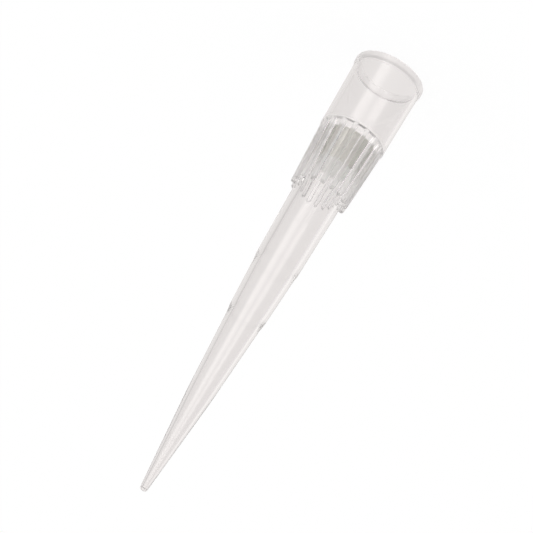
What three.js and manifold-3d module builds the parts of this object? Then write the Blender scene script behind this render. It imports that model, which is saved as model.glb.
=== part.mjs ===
// A filter pipette tip: one moulded polypropylene cone with a ribbed hub, and the porous filter
// pressed into its bore. It stands on its wide mouth: z = 0 is the mouth, +Z runs to the fine end.
// Lengths are in millimetres.
import * as THREE from 'three';
import { mergeVertices } from 'three/addons/utils/BufferGeometryUtils.js';
import Module from 'manifold-3d';

// Overall
const tipLength = 51;
const rimRadius = 3.56;

// Lengths along the axis, one after another from the mouth
const collarLength = 8.03; // mouth to the shoulder where the ribs begin
const ribLength = 7.07; // shoulder to the free ends of the ribs
const hubConeLength = 8.75; // rib ends to the first step
const middleConeLength = 6.15; // first step to the second
const lowerConeLength = 9.6; // second step to the kink, past which the cone is steeper
const stepRunout = 0.4; // length over which a step narrows

// How much the outer radius narrows over each of them
const rimProud = 0.105; // band around the mouth, proud of the collar
const collarNarrowing = 0.12;
const ribInset = 0.065; // ribs set in from the collar
const ribNarrowing = 0.33;
const grooveTopDepth = 0.34; // how deep the grooves between ribs are, at the shoulder
const grooveEndDepth = 0.5; // and at the ribs' free ends
const hubNarrowing = 0.197;
const firstStepDepth = 0.08;
const middleNarrowing = 0.268;
const secondStepDepth = 0.1;
const lowerNarrowing = 0.52;
const endRadius = 0.37;

// Walls, bore and edges
const collarWall = 0.33;
const seatWall = 0.38; // under the ribs, where the filter sits
const ribEndWall = 0.62;
const firstStepWall = 0.543;
const secondStepWall = 0.395;
const kinkWall = 0.355;
const orificeRadius = 0.2;
const orificeLength = 0.5;
const rimHeight = 0.58; // top of the band around the mouth
const rimRunout = 0.26; // slope from the band down to the collar
const rimRound = 0.25; // rounding of the band's outer edge
const rimFlat = 0.11; // width of the flat ring that the tip stands on
const edgeBreak = 0.06; // at the fine end
const leadInLength = 0.3;
const funnelLength = 0.75; // narrows the collar bore to the filter seat
const grooveRelief = 0.5; // length of the steep part of the groove floor
const grooveReliefDepth = 0.12;

// Ribs
const ribCount = 16;
const ribWidth = 0.4;
const ribCorner = 0.2; // rounding of a rib's free end
const ribSink = 0.08; // how deep a rib is rooted in the wall

// Filter
const filterLength = 3.47;
const filterSetback = 0.03; // past the end of the funnel
const filterClearance = 0.04;
const filterEdge = 0.08;

const segments = 3 * ribCount; // facets around the axis, whole numbers of them between ribs
const cornerSegments = 4;
const capSegments = 8;

// Heights above the mouth
const ribEnd = collarLength + ribLength;
const firstStep = ribEnd + hubConeLength;
const secondStep = firstStep + middleConeLength;
const kink = secondStep + lowerConeLength;
const seatTop = collarLength + funnelLength / 2;

// Outer radii at those heights
const collarTopRadius = rimRadius - rimProud;
const collarEndRadius = collarTopRadius - collarNarrowing;
const ribTopRadius = collarEndRadius - ribInset;
const ribEndRadius = ribTopRadius - ribNarrowing;
const grooveTopRadius = ribTopRadius - grooveTopDepth;
const grooveRadius = grooveTopRadius - grooveReliefDepth;
const hubRadius = ribEndRadius - grooveEndDepth;
const firstStepRadius = hubRadius - hubNarrowing;
const middleRadius = firstStepRadius - firstStepDepth;
const secondStepRadius = middleRadius - middleNarrowing;
const lowerRadius = secondStepRadius - secondStepDepth;
const kinkRadius = lowerRadius - lowerNarrowing;

const wasm = await Module();
wasm.setup();

function solidOf(geometry) {
  const bare = geometry.clone();
  bare.deleteAttribute('normal');
  bare.deleteAttribute('uv');
  const merged = mergeVertices(bare, 1e-5);
  return new wasm.Manifold(new wasm.Mesh({
    numProp: 3,
    vertProperties: new Float32Array(merged.attributes.position.array),
    triVerts: new Uint32Array(merged.index.array),
  }));
}

function geometryOf(solid) {
  const mesh = solid.getMesh();
  const geometry = new THREE.BufferGeometry();
  geometry.setAttribute('position', new THREE.BufferAttribute(mesh.vertProperties, 3));
  geometry.setIndex(new THREE.BufferAttribute(mesh.triVerts, 1));
  geometry.computeVertexNormals();
  return geometry;
}

// Turns a closed outline of [radius, height] corners about the Z axis.
function turned(outline) {
  const points = outline.map(([radius, height]) => new THREE.Vector2(radius, height));
  const geometry = new THREE.LatheGeometry(points, segments);
  geometry.rotateX(Math.PI / 2);
  return geometry;
}

// Radius on the straight line between two [radius, height] corners.
function radiusBetween([radiusA, heightA], [radiusB, heightB], height) {
  return radiusA + ((radiusB - radiusA) * (height - heightA)) / (heightB - heightA);
}

// Outside of the moulding from the mouth to the fine end, ribs left off.
function outerOutline() {
  const standRadius = rimRadius - rimRound;
  const rounding = [];
  for (let i = 1; i <= cornerSegments; i += 1) {
    const angle = (i / cornerSegments) * (Math.PI / 2);
    rounding.push([standRadius + rimRound * Math.sin(angle), rimRound * (1 - Math.cos(angle))]);
  }
  return [
    [standRadius, 0],
    ...rounding,
    [rimRadius, rimHeight],
    [collarTopRadius, rimHeight + rimRunout],
    [collarEndRadius, collarLength],
    [grooveTopRadius, collarLength],
    [grooveRadius, collarLength + grooveRelief],
    [hubRadius, ribEnd],
    [firstStepRadius, firstStep],
    [middleRadius, firstStep + stepRunout],
    [secondStepRadius, secondStep],
    [lowerRadius, secondStep + stepRunout],
    [kinkRadius, kink],
    [endRadius, tipLength - edgeBreak],
    [endRadius - edgeBreak, tipLength],
  ];
}

const seatTopCorner = [grooveRadius - seatWall, seatTop];
const seatEndCorner = [hubRadius - ribEndWall, ribEnd];

// Bore from the fine end back to the mouth.
function boreOutline() {
  return [
    [orificeRadius, tipLength],
    [orificeRadius, tipLength - orificeLength],
    [kinkRadius - kinkWall, kink],
    [lowerRadius - secondStepWall, secondStep + stepRunout],
    [firstStepRadius - firstStepWall, firstStep],
    seatEndCorner,
    seatTopCorner,
    [collarEndRadius - collarWall, seatTop - funnelLength],
    [collarTopRadius - collarWall, leadInLength],
    [rimRadius - rimRound - rimFlat, 0],
  ];
}

// One bar, round at its free end, lying along +X before it is trimmed to the ribs' envelope.
function ribBar() {
  const half = ribWidth / 2;
  const outline = new THREE.Shape();
  outline.moveTo(-half, collarLength - ribSink);
  outline.lineTo(half, collarLength - ribSink);
  outline.lineTo(half, ribEnd - half);
  outline.absarc(0, ribEnd - half, half, 0, Math.PI, false);
  outline.closePath();
  const bar = new THREE.ExtrudeGeometry(outline, {
    depth: rimRadius,
    bevelEnabled: false,
    curveSegments: capSegments,
  });
  // The outline's height becomes Z, its width Y, and its depth runs out along +X.
  const turn = new THREE.Matrix4().set(
    0, 0, 1, 0,
    1, 0, 0, 0,
    0, 1, 0, 0,
    0, 0, 0, 1,
  );
  bar.applyMatrix4(turn);
  return bar;
}

// The ring that the ribs fill: from just inside the groove floor out to their common envelope.
function ribEnvelope() {
  const top = collarLength - ribSink;
  const cornerStart = ribEnd - ribCorner;
  const outline = [
    [grooveTopRadius - ribSink, top],
    [ribTopRadius, top],
    [ribTopRadius, collarLength],
    [ribEndRadius, cornerStart],
  ];
  for (let i = 1; i <= cornerSegments; i += 1) {
    const angle = (i / cornerSegments) * (Math.PI / 2);
    outline.push([
      ribEndRadius - ribCorner * (1 - Math.cos(angle)),
      cornerStart + ribCorner * Math.sin(angle),
    ]);
  }
  outline.push([hubRadius - ribSink, ribEnd]);
  outline.push([grooveRadius - ribSink, collarLength + grooveRelief]);
  outline.push([grooveTopRadius - ribSink, top]);
  return turned(outline);
}

function ribs() {
  let bars = null;
  const bar = solidOf(ribBar());
  for (let i = 0; i < ribCount; i += 1) {
    const placed = bar.rotate([0, 0, (360 * i) / ribCount]);
    bars = bars === null ? placed : bars.add(placed);
  }
  return bars.intersect(solidOf(ribEnvelope()));
}

function tipBody() {
  const outline = [...outerOutline(), ...boreOutline()];
  outline.push(outline[0]);
  return geometryOf(solidOf(turned(outline)).add(ribs()));
}

// Porous plug that follows the taper of its seat.
function filterPlug() {
  const start = seatTop + filterSetback;
  const end = start + filterLength;
  const startRadius = radiusBetween(seatTopCorner, seatEndCorner, start) - filterClearance;
  const endingRadius = radiusBetween(seatTopCorner, seatEndCorner, end) - filterClearance;
  return turned([
    [0, start],
    [startRadius - filterEdge, start],
    [startRadius, start + filterEdge],
    [endingRadius, end - filterEdge],
    [endingRadius - filterEdge, end],
    [0, end],
  ]);
}

const clearPolypropylene = new THREE.MeshStandardMaterial({
  color: 0xe9e5e4,
  roughness: 0.15,
  metalness: 0,
  transparent: true,
  opacity: 0.35,
});
const porousPolyethylene = new THREE.MeshStandardMaterial({
  color: 0xd5d6d0,
  roughness: 0.9,
  metalness: 0,
});

function named(name, geometry, material) {
  const mesh = new THREE.Mesh(geometry, material);
  mesh.name = name;
  return mesh;
}

const group = new THREE.Group();
group.add(named('tip_body', tipBody(), clearPolypropylene));
group.add(named('filter_plug', filterPlug(), porousPolyethylene));

export default group;
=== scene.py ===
import math

import bmesh
import bpy
import numpy as np
from mathutils import Matrix, Vector


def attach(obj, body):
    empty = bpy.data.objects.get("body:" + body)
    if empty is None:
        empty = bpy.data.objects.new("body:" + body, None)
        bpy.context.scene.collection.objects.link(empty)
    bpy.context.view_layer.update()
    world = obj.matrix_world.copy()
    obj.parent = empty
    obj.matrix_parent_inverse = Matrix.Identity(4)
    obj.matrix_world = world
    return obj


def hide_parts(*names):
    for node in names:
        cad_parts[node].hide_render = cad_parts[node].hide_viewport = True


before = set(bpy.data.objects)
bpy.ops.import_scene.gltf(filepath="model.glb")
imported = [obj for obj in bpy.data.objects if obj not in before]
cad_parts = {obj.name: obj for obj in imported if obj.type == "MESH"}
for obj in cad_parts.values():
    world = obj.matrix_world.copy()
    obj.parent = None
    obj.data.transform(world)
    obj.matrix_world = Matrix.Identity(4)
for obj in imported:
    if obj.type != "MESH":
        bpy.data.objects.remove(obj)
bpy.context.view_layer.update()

# A filter tip for a pipette: a clear polypropylene moulding with a porous plug in its bore.
# It stands on its mouth at z = 0 and points up. The sizes of the two pieces are in millimetres. Lengths
# in the materials and the studio are in metres, because shaders and Blender read metres.
millimetre = 0.001
scene = bpy.context.scene

shaping = {
    "cornerShare": 0.45,  # the most that a rounding takes of the shorter straight part beside it
    "guardShare": 0.5,  # how far outside a rounding its guard point stands, as a share of the rounding
    "guardLimit": 0.04,
    "shortestStretch": 1e-6,
    "spotsPerMillimetre": 1e5,  # points that round to one spot are joined
    "sharpAngle": 38,
}


def roundedOutline(corners, steps):
    # A corner is (height, radius, rounding). Each inner corner gives way to a short parabola that starts
    # one rounding before it, bends towards it and ends one rounding after it. A guard point just outside
    # each end of the parabola keeps the shading of the straight parts straight.
    table = np.array(corners, float)
    place = table[:, :2]
    before = place[:-2] - place[1:-1]
    after = place[2:] - place[1:-1]
    beforeLength = np.linalg.norm(before, axis=1)
    afterLength = np.linalg.norm(after, axis=1)
    cut = np.minimum(table[1:-1, 2], shaping["cornerShare"] * np.minimum(beforeLength, afterLength))
    start = place[1:-1] + before * (cut / beforeLength)[:, None]
    end = place[1:-1] + after * (cut / afterLength)[:, None]
    t = np.linspace(0, 1, steps)[None, :, None]
    bends = (1 - t) ** 2 * start[:, None] + 2 * t * (1 - t) * place[1:-1, None] + t**2 * end[:, None]
    aside = np.minimum(cut * shaping["guardShare"], shaping["guardLimit"])[:, None]
    ahead = start + before / beforeLength[:, None] * aside
    behind = end + after / afterLength[:, None] * aside
    bends = np.concatenate([ahead[:, None], bends, behind[:, None]], axis=1)
    return np.vstack([place[:1], bends.reshape(-1, 2), place[-1:]])


def evenSteps(outline, longest):
    # Each stretch of the outline is shared into equal steps that are no longer than longest.
    stretch = np.linalg.norm(np.diff(outline, axis=0), axis=1)
    kept = stretch > shaping["shortestStretch"]
    starts = outline[:-1][kept]
    moves = np.diff(outline, axis=0)[kept]
    counts = np.ceil(stretch[kept] / longest).astype(int)
    which = np.repeat(np.arange(len(counts)), counts)
    step = np.arange(counts.sum()) - np.repeat(np.cumsum(counts) - counts, counts)
    points = starts[which] + moves[which] * (step / counts[which])[:, None]
    return np.vstack([points, outline[-1:]])


def gridPiece(name, points, closedRows, faceted=()):
    # The grid closes round its columns, and round its rows too where the outline is a loop. Points in one
    # place become one point, and a face that has two corners there keeps its other three or goes. Faces
    # whose middle lies between two heights of faceted are shaded flat.
    rows, columns = points.shape[:2]
    index = np.arange(rows * columns).reshape(rows, columns)
    down = np.roll(index, -1, axis=0)
    faces = np.stack([index, np.roll(index, -1, axis=1), np.roll(down, -1, axis=1), down], axis=-1)
    if not closedRows:
        faces = faces[:-1]
    spots = np.round(points.reshape(-1, 3) * shaping["spotsPerMillimetre"]).astype(np.int64)
    first, merged = np.unique(spots, axis=0, return_index=True, return_inverse=True)[1:]
    faces = merged.reshape(-1)[faces.reshape(-1, 4)]
    repeated = faces == np.roll(faces, -1, axis=1)
    quads = faces[repeated.sum(axis=1) == 0]
    single = repeated.sum(axis=1) == 1
    triangles = faces[single][~repeated[single]].reshape(-1, 3)
    mesh = bpy.data.meshes.new(name)
    corners = points.reshape(-1, 3)[first] * millimetre
    mesh.from_pydata(corners.tolist(), [], quads.tolist() + triangles.tolist())
    work = bmesh.new()
    work.from_mesh(mesh)
    bmesh.ops.recalc_face_normals(work, faces=work.faces)
    work.to_mesh(mesh)
    work.free()
    middles = np.empty(len(mesh.polygons) * 3)
    mesh.polygons.foreach_get("center", middles)
    height = middles[2::3] / millimetre
    flat = np.zeros(len(height), bool)
    for low, high in faceted:
        flat |= (height > low) & (height < high)
    mesh.polygons.foreach_set("use_smooth", ~flat)
    mesh.set_sharp_from_angle(angle=math.radians(shaping["sharpAngle"]))
    piece = bpy.data.objects.new(name, mesh)
    scene.collection.objects.link(piece)
    return piece


# The moulding: (height, radius, rounding) from the mouth outwards, down the outside and back up the bore.
tip = {
    "ribCount": 16,
    "ribWidth": 0.40,
    "ribDraft": 0.03,  # how much wider each side of a rib is at its foot
    "ribEdge": 0.07,
    "ribEnd": 15.10,
    "ribEndRound": 0.20,
    "ribEndReach": 0.999,  # the part of that rounding that is used, so that it never stands upright
    "ribTop": [(8.03, 3.27), (15.10, 2.94)],
    "ribRows": 24,
    "capTurn": 87,  # degrees gone round a rib's end, where 90 would close it
    "capRows": 8,
    "edgePoints": 4,
    "groovePoints": 8,
    "coneGap": 0.01,  # from the ribs' ends to the first plain row
    "collar": [
        (0.0, 3.26, 0),
        (0.0, 3.56, 0.25),
        (0.58, 3.56, 0.1),
        (0.84, 3.455, 0.05),
        (8.03, 3.335, 0.05),
        (8.03, 3.30, 0),
    ],
    "hub": [
        (8.03, 2.93, 0),
        (8.53, 2.81, 0.2),
        (15.10, 2.44, 0.3),
        (23.65, 2.248, 0.3),
        (24.45, 2.154, 0.3),
        (29.80, 1.904, 0.3),
        (30.60, 1.784, 0.3),
        (39.60, 1.275, 0.5),
        (50.94, 0.37, 0.03),
        (51.0, 0.34, 0),
    ],
    "bore": [
        (51.0, 0.20, 0.02),
        (50.5, 0.20, 0.1),
        (39.6, 0.92, 0.5),
        (30.4, 1.40, 0.3),
        (23.85, 1.70, 0.3),
        (15.1, 1.82, 0.3),
        (8.405, 2.43, 0.05),
        (7.655, 3.005, 0.1),
        (0.3, 3.125, 0.1),
        (0.0, 3.20, 0.02),
        (0.0, 3.26, 0),
    ],
    "longestStep": 1.0,
    "cornerSteps": 5,
    "plainColumns": 192,
    "faceted": [(0.0, 1.2), (7.9, 15.3)],  # smooth shading leaves dark specks in the band and the ribs
}


def tipRows(size):
    # One row for each step along the outline: height, groove radius, rib radius, ribbed or plain, rib width,
    # and whether the row keeps all its points or only the few that a plain circle needs.
    def plain(outline):
        z, r = outline.T
        return np.stack([z, r, r, 0 * z, 0 * z + 1, 0 * z], axis=1)

    def stepped(corners):
        return evenSteps(roundedOutline(corners, size["cornerSteps"]), size["longestStep"])

    hub = roundedOutline(size["hub"], size["cornerSteps"])
    halfWidth = size["ribWidth"] / 2
    capStart = size["ribEnd"] - halfWidth
    turn = np.linspace(0, math.radians(size["capTurn"]), size["capRows"])
    straight = np.linspace(size["hub"][0][0], capStart, size["ribRows"])[:-1]
    bends = hub[(hub[:, 0] > straight[0]) & (hub[:, 0] < capStart), 0]
    ribZ = np.unique(np.concatenate([straight, capStart + halfWidth * np.sin(turn), bends]))
    into = np.clip((ribZ - capStart) / halfWidth, 0, 1)
    ribWidth = np.sqrt(1 - into**2)
    top = np.interp(ribZ, *np.array(size["ribTop"]).T)
    endRound = size["ribEndRound"]
    near = np.clip(ribZ - (size["ribEnd"] - endRound), 0, endRound * size["ribEndReach"])
    top = top - endRound + np.sqrt(endRound**2 - near**2)
    floor = np.interp(ribZ, *hub.T)
    ribbed = np.stack([ribZ, floor, top, 0 * ribZ + 1, ribWidth, 0 * ribZ + 1], axis=1)
    coneStart = size["ribEnd"] + size["coneGap"]
    below = hub[hub[:, 0] > coneStart + size["coneGap"]]
    start = [[coneStart, np.interp(coneStart, *hub.T)]]
    cone = plain(evenSteps(np.vstack([start, below]), size["longestStep"]))
    cone[0, 4:] = [ribWidth[-1], 1]  # the ribs end flush on this row, which still has all their points
    return np.vstack([plain(stepped(size["collar"])), ribbed, cone, plain(stepped(size["bore"]))[:-1]])


def tipMoulding(size):
    # Across each rib the section is flat on top, rounded over the edge, drafted down the side and filleted
    # into the groove. Along the tip the ribs narrow to nothing in a half circle, and plain rows are simple
    # circles.
    rows = tipRows(size)
    height, groove, ribTop, ribbed, width = rows.T[:5, :, None]
    halfWidth = size["ribWidth"] / 2
    edge = size["ribEdge"]
    turn = np.linspace(0, math.pi / 2, size["edgePoints"])
    x = np.concatenate([[0, halfWidth / 2], halfWidth - edge + edge * np.sin(turn)])
    drop = np.concatenate([[0, 0], 1 - np.cos(turn)])
    x = np.concatenate([x, halfWidth + size["ribDraft"] + edge * (1 - np.cos(turn))])
    onTop = np.concatenate([0 * drop + 1, 0 * turn])
    lift = np.concatenate([-drop, 1 - np.sin(turn)])
    along = np.linspace(0, 1, size["groovePoints"])[1:]
    x = np.append(x, 0 * along + x[-1])
    onTop = np.append(onTop, 0 * along)
    lift = np.append(lift, 0 * along)
    grooveShare = np.append(np.zeros(len(x) - len(along)), along)
    radius = ribTop * onTop + groove * (1 - onTop) + edge * lift * ribbed
    sideways = np.minimum(x, halfWidth) * width + np.maximum(x - halfWidth, 0)
    halfPitch = math.pi / size["ribCount"]
    hubRadius = size["hub"][2][1]  # at the ribs' ends, where the plain rows take over their points
    angle = sideways / np.where(ribbed > 0, radius, hubRadius)
    angle = angle * (1 - grooveShare) + halfPitch * grooveShare
    angle = np.concatenate([-angle[:, :0:-1], angle], axis=1)[:, :-1]
    radius = np.concatenate([radius[:, :0:-1], radius], axis=1)[:, :-1]
    sector = np.arange(size["ribCount"]) * 2 * halfPitch
    angle = (angle[:, None, :] + sector[None, :, None]).reshape(len(rows), -1)
    radius = np.tile(radius, (1, size["ribCount"]))
    share = 2 * math.pi / size["plainColumns"]
    angle = np.where(rows[:, 5:6] > 0, angle, np.round(angle / share) * share)
    points = np.stack([radius * np.cos(angle), radius * np.sin(angle), height + 0 * angle], axis=-1)
    return gridPiece("tipMoulding", points, True, size["faceted"])


moulding = tipMoulding(tip)
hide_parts("tip_body")
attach(moulding, "root")
print("moulding:", len(moulding.data.polygons), "faces")

# The plug: pressed beads of polyethylene, so its side is slightly uneven.
plug = {
    "outline": [
        (8.435, 0.0, 0),
        (8.435, 2.385, 0.1),
        (11.905, 2.07, 0.1),
        (11.905, 0.0, 0),
    ],
    "inset": 0.02,  # draws the side in, to leave room for the highest bumps
    "columns": 240,
    "longestStep": 0.09,
    "cornerSteps": 5,
    "waves": 60,
    "wavesAround": (5, 60),  # whole waves in one turn
    "waveTurn": (2, 18),  # radians of a wave in each millimetre along the outline
    "unevenness": 0.006,
    "seed": 7,
}


def plugBody(size):
    # A turned outline whose radius and height are moved by a sum of cosine waves of random pitch and phase.
    # The sum is divided by its own spread, the root of a quarter of the number of waves, and within a
    # millimetre of the axis it fades to nothing.
    outline = evenSteps(roundedOutline(size["outline"], size["cornerSteps"]), size["longestStep"])
    height, radius = outline.T[:, :, None]
    angle = np.linspace(0, 2 * math.pi, size["columns"], endpoint=False)[None]
    random = np.random.default_rng(size["seed"])
    around = random.integers(*size["wavesAround"], size["waves"])
    along = random.uniform(*size["waveTurn"], size["waves"])
    phase = random.uniform(0, 2 * math.pi, (2, size["waves"]))
    place = np.cumsum(np.append(0, np.linalg.norm(np.diff(outline, axis=0), axis=1)))[:, None, None]
    waves = np.cos(around * angle[..., None] + phase[0]) * np.cos(along * place + phase[1])
    uneven = waves.sum(axis=-1) * size["unevenness"] / math.sqrt(size["waves"] / 4)
    fade = np.minimum(radius, 1)
    radius = radius - size["inset"] * fade + uneven * fade
    points = np.stack([radius * np.cos(angle), radius * np.sin(angle), height + uneven * fade], axis=-1)
    return gridPiece("filterPlug", points, False)


filterPlug = plugBody(plug)
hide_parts("filter_plug")
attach(filterPlug, "root")
print("plug:", len(filterPlug.data.polygons), "faces")

# A Mix node has sockets for every kind of value. These are the places of those for numbers and for colours.
numberA, numberB, numberOut = 2, 3, 0
colourA, colourB, colourOut = 6, 7, 2


def addNode(tree, kind, values=None, **settings):
    node = tree.nodes.new(kind)
    for key, value in settings.items():
        setattr(node, key, value)
    for key, value in (values or {}).items():
        node.inputs[key].default_value = value
    return node


def link(tree, *pairs):
    for source, target in pairs:
        tree.links.new(source, target)


def newMaterial(name):
    material = bpy.data.materials.new(name)
    material.use_nodes = True
    return material, material.node_tree, material.node_tree.nodes["Principled BSDF"]


def grainGroup():
    # Noise, with its contrast changed about its middle, mixes two colours.
    group = bpy.data.node_groups.new("fineGrain", "ShaderNodeTree")
    for name, kind in (("Vector", "Vector"), ("Scale", "Float"), ("Detail", "Float"), ("Contrast", "Float"),
                       ("Dark", "Color"), ("Light", "Color")):
        group.interface.new_socket(name=name, in_out="INPUT", socket_type="NodeSocket" + kind)
    group.interface.new_socket(name="Colour", in_out="OUTPUT", socket_type="NodeSocketColor")
    noiseMiddle = 0.5
    inside = addNode(group, "NodeGroupInput")
    outside = addNode(group, "NodeGroupOutput")
    noise = addNode(group, "ShaderNodeTexNoise")
    shift = addNode(group, "ShaderNodeMath", {1: noiseMiddle}, operation="SUBTRACT")
    gain = addNode(group, "ShaderNodeMath", operation="MULTIPLY")
    back = addNode(group, "ShaderNodeMath", {1: noiseMiddle}, operation="ADD", use_clamp=True)
    mix = addNode(group, "ShaderNodeMix", data_type="RGBA")
    link(group,
         (inside.outputs["Vector"], noise.inputs["Vector"]),
         (inside.outputs["Scale"], noise.inputs["Scale"]),
         (inside.outputs["Detail"], noise.inputs["Detail"]),
         (noise.outputs["Fac"], shift.inputs[0]),
         (shift.outputs[0], gain.inputs[0]),
         (inside.outputs["Contrast"], gain.inputs[1]),
         (gain.outputs[0], back.inputs[0]),
         (back.outputs[0], mix.inputs["Factor"]),
         (inside.outputs["Dark"], mix.inputs[colourA]),
         (inside.outputs["Light"], mix.inputs[colourB]),
         (mix.outputs[colourOut], outside.inputs["Colour"]))
    return group


fineGrain = grainGroup()

# Lengths here are in metres. Haze is roughness: the hub has some, its ribs have more, the band at the
# mouth has its own, and the other walls have hardly any.
plastic = {
    "dark": (0.975, 0.97, 0.97, 1),
    "light": (0.985, 0.982, 0.982, 1),
    "ior": 1.49,
    "clarity": 1.0,
    "flowStretch": (900, 900, 25),  # long streaks along the tip
    "flowScale": 1,
    "flowDetail": 2,
    "flowContrast": 2,
    "wallHaze": 0.02,
    "bandHaze": 0.30,
    "bandTop": (0.0008, 0.0009),  # heights between which the band's haze fades out
    "hubHaze": 0.12,
    "ribHaze": 0.38,
    "ribMiddle": 0.01157,  # height of the middle of the hub
    "ribHalf": (0.0035, 0.0042),  # distances from there between which the hub's haze fades out
    "grooveFloor": (-0.05632, 0.0032904),  # its slope, and its radius carried on to the mouth
    "ribProud": (0.00006, 0.00014),  # heights above that floor between which the ribs' haze sets in
}


def clearPlastic(look):
    material, tree, surface = newMaterial("clearPolypropylene")
    place = addNode(tree, "ShaderNodeTexCoord")
    stretch = addNode(tree, "ShaderNodeMapping", {"Scale": look["flowStretch"]})
    flow = addNode(tree, "ShaderNodeGroup", {
        "Scale": look["flowScale"],
        "Detail": look["flowDetail"],
        "Contrast": look["flowContrast"],
        "Dark": look["dark"],
        "Light": look["light"],
    }, node_tree=fineGrain)
    axes = addNode(tree, "ShaderNodeSeparateXYZ")
    offset = addNode(tree, "ShaderNodeMath", {1: look["ribMiddle"]}, operation="SUBTRACT")
    away = addNode(tree, "ShaderNodeMath", operation="ABSOLUTE")
    haze = addNode(tree, "ShaderNodeMapRange", {
        "From Min": look["ribHalf"][0],
        "From Max": look["ribHalf"][1],
    })
    wall = addNode(tree, "ShaderNodeMapRange", {
        "From Min": look["bandTop"][0],
        "From Max": look["bandTop"][1],
        "To Min": look["bandHaze"],
        "To Max": look["wallHaze"],
    })
    spoke = addNode(tree, "ShaderNodeCombineXYZ")
    radius = addNode(tree, "ShaderNodeVectorMath", operation="LENGTH")
    slope, start = look["grooveFloor"]
    floor = addNode(tree, "ShaderNodeMath", {1: slope, 2: start}, operation="MULTIPLY_ADD")
    proud = addNode(tree, "ShaderNodeMath", operation="SUBTRACT")
    onRib = addNode(tree, "ShaderNodeMapRange", {
        "From Min": look["ribProud"][0],
        "From Max": look["ribProud"][1],
        "To Min": look["hubHaze"],
        "To Max": look["ribHaze"],
    })
    link(tree,
         (place.outputs["Object"], stretch.inputs["Vector"]),
         (stretch.outputs[0], flow.inputs["Vector"]),
         (flow.outputs["Colour"], surface.inputs["Base Color"]),
         (place.outputs["Object"], axes.inputs[0]),
         (axes.outputs["Z"], offset.inputs[0]),
         (offset.outputs[0], away.inputs[0]),
         (away.outputs[0], haze.inputs["Value"]),
         (axes.outputs["X"], spoke.inputs["X"]),
         (axes.outputs["Y"], spoke.inputs["Y"]),
         (spoke.outputs[0], radius.inputs[0]),
         (axes.outputs["Z"], floor.inputs[0]),
         (radius.outputs["Value"], proud.inputs[0]),
         (floor.outputs[0], proud.inputs[1]),
         (proud.outputs[0], onRib.inputs["Value"]),
         (onRib.outputs["Result"], haze.inputs["To Min"]),
         (axes.outputs["Z"], wall.inputs["Value"]),
         (wall.outputs["Result"], haze.inputs["To Max"]),
         (haze.outputs["Result"], surface.inputs["Roughness"]))
    surface.inputs["IOR"].default_value = look["ior"]
    surface.inputs["Transmission Weight"].default_value = look["clarity"]
    return material


# Lengths here are in metres too. The plug's two cut faces are painted paler than its side: painted light
# that stands in for the light falling on them.
beads = {
    "dark": (0.59, 0.59, 0.55, 1),
    "light": (0.70, 0.70, 0.66, 1),
    # the paler colour of the end faces is painted light, not a colour of the beads
    "cut": (0.80, 0.81, 0.79, 1),
    "middle": 0.01017,  # height of the plug's middle
    "paintedLightFrom": (0.00169, 0.00173),  # distances from there between which the painted light of the end faces sets in
    "beadsPerMetre": 9000,
    "bumpStrength": 0.5,
    "bumpHeight": 0.00003,
    "grainPerMetre": 4000,
    "grainDetail": 3,
    "grainContrast": 1.6,
    "roughness": 0.85,
}


def porousPlastic(look):
    material, tree, surface = newMaterial("porousPolyethylene")
    place = addNode(tree, "ShaderNodeTexCoord")
    cells = addNode(tree, "ShaderNodeTexVoronoi", {"Scale": look["beadsPerMetre"]}, feature="SMOOTH_F1")
    grain = addNode(tree, "ShaderNodeGroup", {
        "Scale": look["grainPerMetre"],
        "Detail": look["grainDetail"],
        "Contrast": look["grainContrast"],
        "Dark": look["dark"],
        "Light": look["light"],
    }, node_tree=fineGrain)
    bump = addNode(tree, "ShaderNodeBump", {
        "Strength": look["bumpStrength"],
        "Distance": look["bumpHeight"],
    }, invert=True)
    axes = addNode(tree, "ShaderNodeSeparateXYZ")
    offset = addNode(tree, "ShaderNodeMath", {1: look["middle"]}, operation="SUBTRACT")
    away = addNode(tree, "ShaderNodeMath", operation="ABSOLUTE")
    # The two end faces are mixed towards the paler cut colour: painted light on the plug's ends.
    paintedLightMask = addNode(tree, "ShaderNodeMapRange", {
        "From Min": look["paintedLightFrom"][0],
        "From Max": look["paintedLightFrom"][1],
    })
    shade = addNode(tree, "ShaderNodeMix", {colourB: look["cut"]}, data_type="RGBA")
    link(tree,
         (place.outputs["Object"], cells.inputs["Vector"]),
         (place.outputs["Object"], grain.inputs["Vector"]),
         (place.outputs["Object"], axes.inputs[0]),
         (axes.outputs["Z"], offset.inputs[0]),
         (offset.outputs[0], away.inputs[0]),
         (away.outputs[0], paintedLightMask.inputs["Value"]),
         (paintedLightMask.outputs["Result"], shade.inputs["Factor"]),
         (grain.outputs["Colour"], shade.inputs[colourA]),
         (shade.outputs[colourOut], surface.inputs["Base Color"]),
         (cells.outputs["Distance"], bump.inputs["Height"]),
         (bump.outputs["Normal"], surface.inputs["Normal"]))
    surface.inputs["Roughness"].default_value = look["roughness"]
    return material


moulding.data.materials.append(clearPlastic(plastic))
filterPlug.data.materials.append(porousPlastic(beads))
print("materials done")

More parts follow.
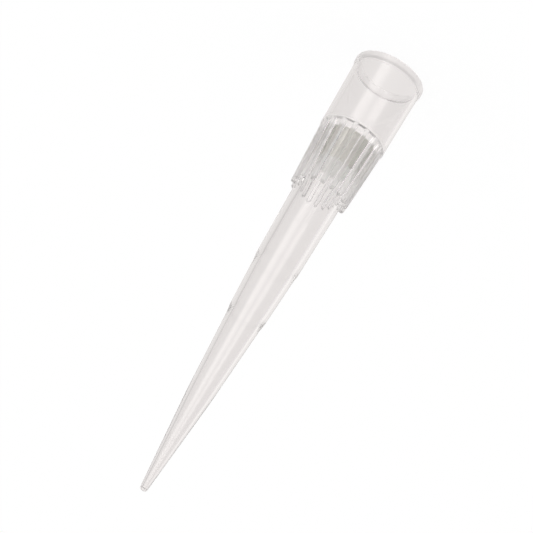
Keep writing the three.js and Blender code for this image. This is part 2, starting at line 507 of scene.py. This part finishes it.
# The floor is white to the eye and keeps a soft shadow. What the plastic mirrors or bends goes through it,
# to the studio that stands all round the tip. Angles are in degrees and the floor's size is in metres.
studio = {
    "floorHalf": 1.5,
    "floorShade": 0.06,  # the share of the floor that takes shadows, and the rest is plain white
    "fill": 1.0,  # plain white light on dull surfaces
    "around": [  # (direction, level) round the tip
        (-180, 0.72), (-150, 0.75), (-125, 0.85), (-97, 1.05), (-84, 1.9), (-76, 2.3), (-62, 2.3),
        (-50, 0.7), (-38, 0.52), (-5, 0.52), (10, 0.52), (24, 0.62), (38, 0.80), (70, 0.83),
        (110, 0.83), (130, 1.0), (160, 0.78),
    ],
    "levels": [  # (height, level) from below to above
        (-90, 0.8), (-45, 0.9), (-28, 1.0), (-8, 1.0), (30, 1.6), (90, 2.0),
    ],
    "rampTop": 4,  # a ramp keeps levels as shares of this
    "cardAzimuth": 83,
    "cardHeight": -62,
    "cardInside": 13,  # the card is full within this angle of its middle
    "cardOutside": 23,  # and has faded out at this one
    "cardLevel": 0.3,
    "tint": (1.0, 0.965, 0.95, 1),
}


def studioFloor(look):
    half = look["floorHalf"]
    mesh = bpy.data.meshes.new("studioFloor")
    corners = [(-half, -half, 0), (half, -half, 0), (half, half, 0), (-half, half, 0)]
    mesh.from_pydata(corners, [], [(0, 1, 2, 3)])
    floor = bpy.data.objects.new("studioFloor", mesh)
    scene.collection.objects.link(floor)
    material, tree, surface = newMaterial("paleFloor")
    surface.inputs["Base Color"].default_value = (1, 1, 1, 1)
    surface.inputs["Roughness"].default_value = 1
    surface.inputs["Specular IOR Level"].default_value = 0
    glow = addNode(tree, "ShaderNodeEmission")
    through = addNode(tree, "ShaderNodeBsdfTransparent")
    path = addNode(tree, "ShaderNodeLightPath")
    bent = addNode(tree, "ShaderNodeMath", operation="MAXIMUM")
    seen = addNode(tree, "ShaderNodeMixShader", {0: look["floorShade"]})
    ends = addNode(tree, "ShaderNodeMixShader")
    output = tree.nodes["Material Output"]
    link(tree,
         (path.outputs["Is Glossy Ray"], bent.inputs[0]),
         (path.outputs["Is Transmission Ray"], bent.inputs[1]),
         (glow.outputs[0], seen.inputs[1]),
         (surface.outputs[0], seen.inputs[2]),
         (bent.outputs[0], ends.inputs[0]),
         (seen.outputs[0], ends.inputs[1]),
         (through.outputs[0], ends.inputs[2]),
         (ends.outputs[0], output.inputs["Surface"]))
    mesh.materials.append(material)


def rampOf(tree, stops, low, high, top):
    # A grey ramp through (place, level) pairs. Places from low to high become 0 to 1, and so do levels
    # from 0 to top.
    ramp = addNode(tree, "ShaderNodeValToRGB")
    elements = ramp.color_ramp.elements
    elements.remove(elements[1])
    for index, (place, level) in enumerate(stops):
        where = (place - low) / (high - low)
        element = elements.new(where) if index else elements[0]
        element.position = where
        element.color = (level / top, level / top, level / top, 1)
    return ramp


def studioWorld(look):
    # Brightness by direction: a ring of levels round the tip, times a rise from below to above, with a
    # dark card low behind the tip that draws its edges.
    world = bpy.data.worlds.new("studio")
    scene.world = world
    world.use_nodes = True
    tree = world.node_tree
    tree.nodes.clear()
    toward = addNode(tree, "ShaderNodeTexCoord")
    axes = addNode(tree, "ShaderNodeSeparateXYZ")
    azimuth = addNode(tree, "ShaderNodeMath", operation="ARCTAN2")
    turn = addNode(tree, "ShaderNodeMapRange", {"From Min": -math.pi, "From Max": math.pi})
    ring = rampOf(tree, look["around"], -180, 180, look["rampTop"])
    height = addNode(tree, "ShaderNodeMath", operation="ARCSINE")
    climb = addNode(tree, "ShaderNodeMapRange", {"From Min": -math.pi / 2, "From Max": math.pi / 2})
    rise = rampOf(tree, look["levels"], -90, 90, look["rampTop"])
    both = addNode(tree, "ShaderNodeMath", operation="MULTIPLY")
    gain = addNode(tree, "ShaderNodeMath", {1: look["rampTop"] ** 2}, operation="MULTIPLY")
    side = math.radians(look["cardAzimuth"])
    up = math.radians(look["cardHeight"])
    middle = (math.cos(up) * math.cos(side), math.cos(up) * math.sin(side), math.sin(up))
    near = addNode(tree, "ShaderNodeVectorMath", {1: middle}, operation="DOT_PRODUCT")
    inCard = addNode(tree, "ShaderNodeMapRange", {
        "From Min": math.cos(math.radians(look["cardOutside"])),
        "From Max": math.cos(math.radians(look["cardInside"])),
    }, interpolation_type="SMOOTHSTEP")
    strength = addNode(tree, "ShaderNodeMix", {numberB: look["cardLevel"]})
    bent = addNode(tree, "ShaderNodeBackground", {"Color": look["tint"]})
    plain = addNode(tree, "ShaderNodeBackground", {"Color": (1, 1, 1, 1), "Strength": look["fill"]})
    white = addNode(tree, "ShaderNodeBackground", {"Color": (1, 1, 1, 1), "Strength": 1})
    path = addNode(tree, "ShaderNodeLightPath")
    either = addNode(tree, "ShaderNodeMath", operation="MAXIMUM")
    first = addNode(tree, "ShaderNodeMixShader")
    second = addNode(tree, "ShaderNodeMixShader")
    output = addNode(tree, "ShaderNodeOutputWorld")
    link(tree,
         (toward.outputs["Generated"], axes.inputs[0]),
         (axes.outputs["Y"], azimuth.inputs[0]),
         (axes.outputs["X"], azimuth.inputs[1]),
         (azimuth.outputs[0], turn.inputs["Value"]),
         (turn.outputs["Result"], ring.inputs["Fac"]),
         (axes.outputs["Z"], height.inputs[0]),
         (height.outputs[0], climb.inputs["Value"]),
         (climb.outputs["Result"], rise.inputs["Fac"]),
         (ring.outputs["Color"], both.inputs[0]),
         (rise.outputs["Color"], both.inputs[1]),
         (both.outputs[0], gain.inputs[0]),
         (toward.outputs["Generated"], near.inputs[0]),
         (near.outputs["Value"], inCard.inputs["Value"]),
         (inCard.outputs["Result"], strength.inputs["Factor"]),
         (gain.outputs[0], strength.inputs[numberA]),
         (strength.outputs[numberOut], bent.inputs["Strength"]),
         (path.outputs["Is Glossy Ray"], either.inputs[0]),
         (path.outputs["Is Transmission Ray"], either.inputs[1]),
         (either.outputs[0], first.inputs[0]),
         (plain.outputs[0], first.inputs[1]),
         (bent.outputs[0], first.inputs[2]),
         (path.outputs["Is Camera Ray"], second.inputs[0]),
         (first.outputs[0], second.inputs[1]),
         (white.outputs[0], second.inputs[2]),
         (second.outputs[0], output.inputs["Surface"]))


studioFloor(studio)
studioWorld(studio)
print("studio done")

# The camera looks down on the fine end of the standing tip, and is rolled so that the fine end points
# down left.
view = {
    "azimuth": -97,
    "elevation": 28,
    "roll": 149.23,
    "distance": 0.9,  # in metres, as are the next two
    "fieldWidth": 0.04981,
    "nearest": 0.01,
    "sensorWidth": 36,  # in millimetres, as are the last three
    "aimHeight": 25.5,
    "aimRight": -0.155,
    "aimUp": 1.2,
}


def placeCamera(look):
    data = bpy.data.cameras.new("studioCamera")
    camera = bpy.data.objects.new("studioCamera", data)
    scene.collection.objects.link(camera)
    azimuth = math.radians(look["azimuth"])
    elevation = math.radians(look["elevation"])
    outward = math.cos(elevation)
    back = Vector((outward * math.cos(azimuth), outward * math.sin(azimuth), math.sin(elevation)))
    level = Vector((0, 0, 1)).cross(back).normalized()
    above = back.cross(level)
    roll = math.radians(look["roll"])
    right = level * math.cos(roll) - above * math.sin(roll)
    up = level * math.sin(roll) + above * math.cos(roll)
    aim = Vector((0, 0, look["aimHeight"])) + right * look["aimRight"] + up * look["aimUp"]
    turned = Matrix((right, up, back)).transposed().to_4x4()
    camera.matrix_world = Matrix.Translation(aim * millimetre + back * look["distance"]) @ turned
    data.sensor_width = look["sensorWidth"]
    data.lens = look["sensorWidth"] * look["distance"] / look["fieldWidth"]
    data.clip_start = look["nearest"]
    scene.camera = camera


placeCamera(view)
scene.view_settings.view_transform = "Standard"

# With fewer bounces, dark spots are left at the ends of the shoulder and of the ribs.
lightBounces = 48
scene.cycles.max_bounces = lightBounces
scene.cycles.transmission_bounces = lightBounces
scene.cycles.glossy_bounces = lightBounces
